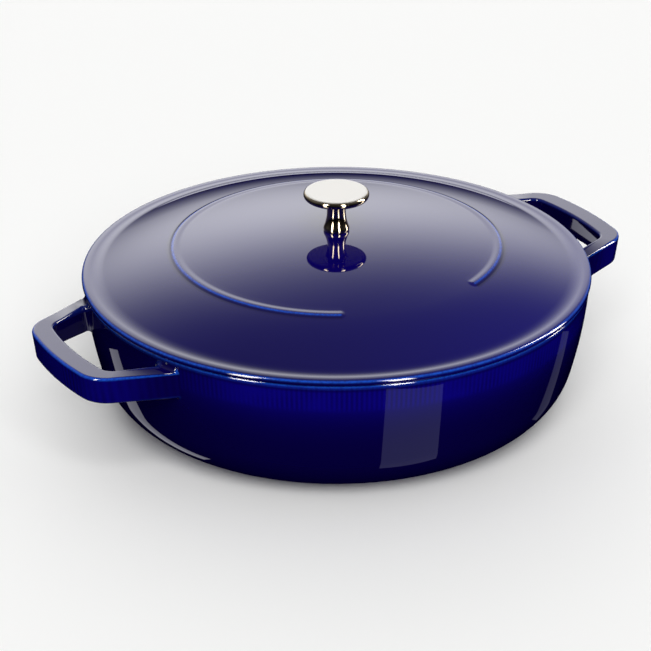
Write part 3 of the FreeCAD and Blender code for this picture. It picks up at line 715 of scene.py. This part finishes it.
def knobSurface():
    # foot that swells to the bulge on one arc, a hollow neck arc tangent to it, then the disc, whose
    # edge is a half round
    step = knob["bulge"] - knob["foot"]
    bulgeRound = (step**2 + knob["bulgeHeight"]**2) / (2 * step)
    drop, climb = knob["bulge"] - knob["neck"], knob["neckHeight"] - knob["bulgeHeight"]
    arcSum = (drop**2 + climb**2) / (2 * drop)
    neckRound = arcSum - bulgeRound
    bulgeCentre = np.array([knob["bulge"] - bulgeRound, knob["bulgeHeight"]])
    neckCentre = np.array([knob["neck"] + neckRound, knob["neckHeight"]])
    waist = np.degrees(np.arctan2(*(neckCentre - bulgeCentre)))
    discZ = knob["height"] - knob["edge"]
    footLean = np.degrees(np.arctan2(knob["foot"] - bulgeCentre[0], -knob["bulgeHeight"]))
    neckEnd = np.degrees(np.arccos((discZ - knob["neckHeight"]) / neckRound))
    edgeRound, footRound = knob["edge"] / 2, knob["footRound"]
    flat = knob["radius"] - edgeRound
    neckTop = neckCentre[0] - neckRound * np.sin(np.radians(neckEnd))
    profile = chain(
        line((0, 0), (knob["foot"] - footRound, 0), 5),
        arc((knob["foot"] - footRound, footRound), footRound, 180, footLean, 6),
        arc(bulgeCentre, bulgeRound, footLean, waist, 20),
        arc(neckCentre, neckRound, waist - 180, -neckEnd, 24),
        line((neckTop, discZ), (flat, discZ), 10),
        arc((flat, discZ + edgeRound), edgeRound, 180, 0, 41),
        line((flat, knob["height"]), (0, knob["height"]), 12))
    faced = (profile[:, 1:] > knob["height"] - knob["facedDepth"]) * 1.0
    return dict(grid=revolve(profile + np.array([0, knob["low"]]), fullTurn(knob["turns"])), facedTop=faced)


makePiece("turnedKnob", [knobSurface()], "lid", "lid_knob", [nickelMaterial])

# Screw and washers keep their solids

for node in ("knob_screw", "flat_washer", "spring_washer"):
    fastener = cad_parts[node]
    fastener.data.materials.clear()
    fastener.data.materials.append(steelMaterial)
print("fasteners finished")

# Camera at the photograph's angle

shot = dict(
    azimuth=-31.61, elevation=26.26, roll=-0.21,                        # degrees
    distance=1.52694, sideways=-0.0065, targetHeight=0.04182,           # metres
    lens=143.35, sensor=36.0,                                           # mm
)


def makeCamera():
    # looks at a point above the middle of the base, moved sideways, and rolls about its line of sight
    azimuth, elevation, roll = np.radians([shot["azimuth"], shot["elevation"], shot["roll"]])
    level = np.array([-np.sin(azimuth), np.cos(azimuth), 0])
    forward = level * np.cos(elevation) - np.array([0, 0, np.sin(elevation)])
    right = np.array([np.cos(azimuth), np.sin(azimuth), 0])
    up = np.cross(right, forward)
    place = np.array([0, 0, shot["targetHeight"]]) + shot["sideways"] * right - shot["distance"] * forward
    axes = [np.cos(roll) * right + np.sin(roll) * up, np.cos(roll) * up - np.sin(roll) * right, -forward]
    data = bpy.data.cameras.new("photoCamera")
    data.lens, data.sensor_width = shot["lens"], shot["sensor"]
    camera = bpy.data.objects.new("photoCamera", data)
    camera.matrix_world = Matrix.Translation(place) @ Matrix(np.column_stack(axes)).to_4x4()
    bpy.context.scene.collection.objects.link(camera)
    bpy.context.scene.camera = camera


makeCamera()

# Floor and light

studio = dict(
    floor="#f8f8f7", floorRadius=20.0, floorDrop=0.2, floorTurns=128,   # metres, and mm below the base
    horizon=0.04, zenith=0.2, zenithSine=0.7,       # light at the horizon, and from that sine of height up
    dusk=(-0.2, 0.08),                              # sines of the heights over which the light fades in
    frontShade=0.2, frontCosine=0.5,                # share left towards the camera, from that cosine on
    glow=2.69, glowTurn=25.6, glowHeight=19.9, glowWide=20.6, glowTall=12.1, glowLean=-0.54,    # degrees
    keyLight=dict(strength=0.85, turn=45.0, height=78.0, soft=100.0),
    frontFill=dict(strength=2.35, turn=205.0, height=42.0, soft=50.0),
    tableGlow=dict(strength=1.25, turn=0.0, height=-90.0, soft=150.0),
)
cameraTurn = 180 - shot["azimuth"]      # where the camera stands, as direction measures it
# upright panels that only reflections show, bright in the middle and soft towards their edges
softboxes = dict(                       # metres and degrees
    radiance=28.0, colour="#fffaf0", distance=1.5, height=26.0, wide=0.34, tall=1.5, soft=0.5,
    turns=(cameraTurn + 39, cameraTurn - 26, cameraTurn - 105),
)
# glowing cards that lie round the pot and only reflections show, with their corners in mm
cards = dict(
    height=2.0,
    front=dict(light=0.64, colour="#c0c0ff", corners=((-70, -240), (10, -240), (-13, -145), (-51, -134))),
    right=dict(light=0.18, colour="#d0d0ff", corners=((194, -97), (196, -119), (73, -124), (74, -114))),
    left=dict(light=0.8, colour="#f0f0ff", corners=((-169, 105), (-188, 92), (-122, -53), (-120, -46))),
    window=dict(light=1.3, colour="#f0f0ff", corners=((122, 90), (152, 74), (152, 66), (128, 78))),
)


def direction(turn, height):
    # from the object: turn in degrees from +Y towards +X, height in degrees above the floor
    t, h = np.radians([turn, height])
    return Vector((np.sin(t) * np.cos(h), np.cos(t) * np.cos(h), np.sin(h)))


def stageMesh(name, points, faces, material):
    # a piece of the studio, which isn't part of the object
    mesh = bpy.data.meshes.new(name)
    mesh.from_pydata(points, [], faces)
    mesh.materials.append(material)
    piece = bpy.data.objects.new(name, mesh)
    bpy.context.scene.collection.objects.link(piece)
    return piece


def makeFloor():
    # Matte white paper: pale and even, with no gloss
    material, _, shader = newMaterial("palePaper")
    shader.inputs["Base Color"].default_value = linear(studio["floor"])
    shader.inputs["Roughness"].default_value = 1.0
    shader.inputs["Specular IOR Level"].default_value = 0.0
    disc = np.array([[0, 0], [studio["floorRadius"] / mm, 0]]) - np.array([0, studio["floorDrop"]])
    grid = revolve(disc, fullTurn(studio["floorTurns"])) * mm
    faces = gridFaces(grid.shape, 0)[:, ::-1].tolist()
    paper = stageMesh("paleFloor", grid.reshape(-1, 3).tolist(), faces, material)
    # the wall mirrors the dark below the horizon and stays deep blue, and a weak lamp that shines through
    # the floor stands for the light that a table throws up
    paper.visible_glossy = False
    paper.visible_diffuse = False
    paper.visible_shadow = False


def makePanel(name, colour, points, glow):
    # a flat panel that only glows, and only in reflections
    material, tree, shader = newMaterial(name)
    shader.inputs["Base Color"].default_value = (0, 0, 0, 1)
    shader.inputs["Specular IOR Level"].default_value = 0
    shader.inputs["Emission Color"].default_value = linear(colour)
    glow(tree, shader.inputs["Emission Strength"])
    panel = stageMesh(name, points, [(0, 1, 2, 3)], material)
    panel.visible_camera = False
    panel.visible_diffuse = False
    panel.visible_shadow = False
    return panel


def makeCard(name, light, colour, corners):
    # a level panel of even light
    def even(tree, strength):
        strength.default_value = light

    makePanel(name, colour, [(x * mm, y * mm, cards["height"] * mm) for x, y in corners], even)


def makeWorld():
    # low light that rises from the horizon to overhead, and a soft bright patch behind the object that
    # leans as it rises: exp(-((turn - lean * height) / wide)^2 / 2 - (height / tall)^2 / 2). Both fade
    # to dark below the horizon and towards the camera
    world = bpy.data.worlds.new("studioWorld")
    bpy.context.scene.world = world
    world.use_nodes = True
    tree = world.node_tree
    tree.nodes.clear()
    ray = addNode(tree, "ShaderNodeTexCoord").outputs["Generated"]
    way = addNode(tree, "ShaderNodeSeparateXYZ", {0: ray})
    turn = addNode(tree, "ShaderNodeMath", {0: way.outputs[0], 1: way.outputs[1]}, operation="ARCTAN2")
    height = addNode(tree, "ShaderNodeMath", {0: way.outputs[2]}, operation="ARCSINE")
    turnOff, heightOff = (
        addNode(tree, "ShaderNodeMath", {0: angle.outputs[0], 1: -np.radians(middle)}, operation="ADD")
        for angle, middle in ((turn, studio["glowTurn"]), (height, studio["glowHeight"])))
    leanOff = addNode(tree, "ShaderNodeMath", {
        0: heightOff.outputs[0], 1: -studio["glowLean"], 2: turnOff.outputs[0]}, operation="MULTIPLY_ADD")
    squares = []
    for off, spread in ((leanOff, studio["glowWide"]), (heightOff, studio["glowTall"])):
        share = addNode(tree, "ShaderNodeMath", {
            0: off.outputs[0], 1: np.radians(spread) * np.sqrt(2)}, operation="DIVIDE")
        squares.append(addNode(tree, "ShaderNodeMath", {
            0: share.outputs[0], 1: share.outputs[0]}, operation="MULTIPLY").outputs[0])
    total = addNode(tree, "ShaderNodeMath", {0: squares[0], 1: squares[1]}, operation="ADD")
    fade = addNode(tree, "ShaderNodeMath", {0: np.exp(-1.0), 1: total.outputs[0]}, operation="POWER")
    sky = addNode(tree, "ShaderNodeMapRange", {
        "Value": way.outputs[2], "From Max": studio["zenithSine"],
        "To Min": studio["horizon"], "To Max": studio["zenith"]})
    whole = addNode(tree, "ShaderNodeMath", {
        0: fade.outputs[0], 1: studio["glow"], 2: sky.outputs[0]}, operation="MULTIPLY_ADD")
    dusk = addNode(tree, "ShaderNodeMapRange", {
        "Value": way.outputs[2], "From Min": studio["dusk"][0], "From Max": studio["dusk"][1]})
    above = addNode(tree, "ShaderNodeMath", {0: whole.outputs[0], 1: dusk.outputs[0]}, operation="MULTIPLY")
    ahead = addNode(tree, "ShaderNodeVectorMath", {
        0: ray, 1: direction(cameraTurn, 0)}, operation="DOT_PRODUCT")
    shade = addNode(tree, "ShaderNodeMapRange", {
        "Value": ahead.outputs["Value"], "From Max": studio["frontCosine"],
        "To Min": 1.0, "To Max": studio["frontShade"]})
    level = addNode(tree, "ShaderNodeMath", {0: above.outputs[0], 1: shade.outputs[0]}, operation="MULTIPLY")
    light = addNode(tree, "ShaderNodeBackground", {"Strength": level.outputs[0], "Color": (1, 1, 1, 1)})
    addNode(tree, "ShaderNodeOutputWorld", {"Surface": light.outputs[0]})


def makeSun(name, strength, turn, height, soft):
    # a wide lamp that the glaze doesn't mirror, since the panels and cards are there for that
    data = bpy.data.lights.new(name, "SUN")
    data.energy, data.angle = strength, np.radians(soft)
    lamp = bpy.data.objects.new(name, data)
    lamp.rotation_euler = direction(turn, height).to_track_quat("Z", "Y").to_euler()
    lamp.visible_glossy = False
    bpy.context.scene.collection.objects.link(lamp)


def makeSoftbox(name, turn):
    # a panel turned to the object, whose light falls to nothing by a smooth step towards each edge
    wide, tall = softboxes["wide"] / 2, softboxes["tall"] / 2

    def softEdged(tree, strength):
        where = addNode(tree, "ShaderNodeTexCoord").outputs["Object"]
        place = addNode(tree, "ShaderNodeSeparateXYZ", {0: where})
        fades = []
        for axis, half in enumerate((wide, tall)):
            off = addNode(tree, "ShaderNodeMath", {0: place.outputs[axis]}, operation="ABSOLUTE")
            fades.append(addNode(tree, "ShaderNodeMapRange", {
                "Value": off.outputs[0], "From Min": half * (1 - softboxes["soft"]), "From Max": half,
                "To Min": 1.0, "To Max": 0.0}, interpolation_type="SMOOTHSTEP").outputs[0])
        both = addNode(tree, "ShaderNodeMath", {0: fades[0], 1: fades[1]}, operation="MULTIPLY")
        level = addNode(tree, "ShaderNodeMath", {
            0: both.outputs[0], 1: softboxes["radiance"]}, operation="MULTIPLY")
        tree.links.new(level.outputs[0], strength)

    corners = [(-wide, -tall, 0), (wide, -tall, 0), (wide, tall, 0), (-wide, tall, 0)]
    panel = makePanel(name, softboxes["colour"], corners, softEdged)
    panel.location = direction(turn, softboxes["height"]) * softboxes["distance"]
    panel.rotation_euler = direction(turn, softboxes["height"]).to_track_quat("Z", "Y").to_euler()


makeFloor()
for cardName in ("front", "right", "left", "window"):
    makeCard(cardName + "Card", **cards[cardName])
makeWorld()
for lampName in ("keyLight", "frontFill", "tableGlow"):
    makeSun(lampName, **studio[lampName])
for number, boxTurn in enumerate(softboxes["turns"], 1):
    makeSoftbox(f"softbox{number}", boxTurn)
print("studio lit")

bpy.context.scene.view_settings.view_transform = "Standard"
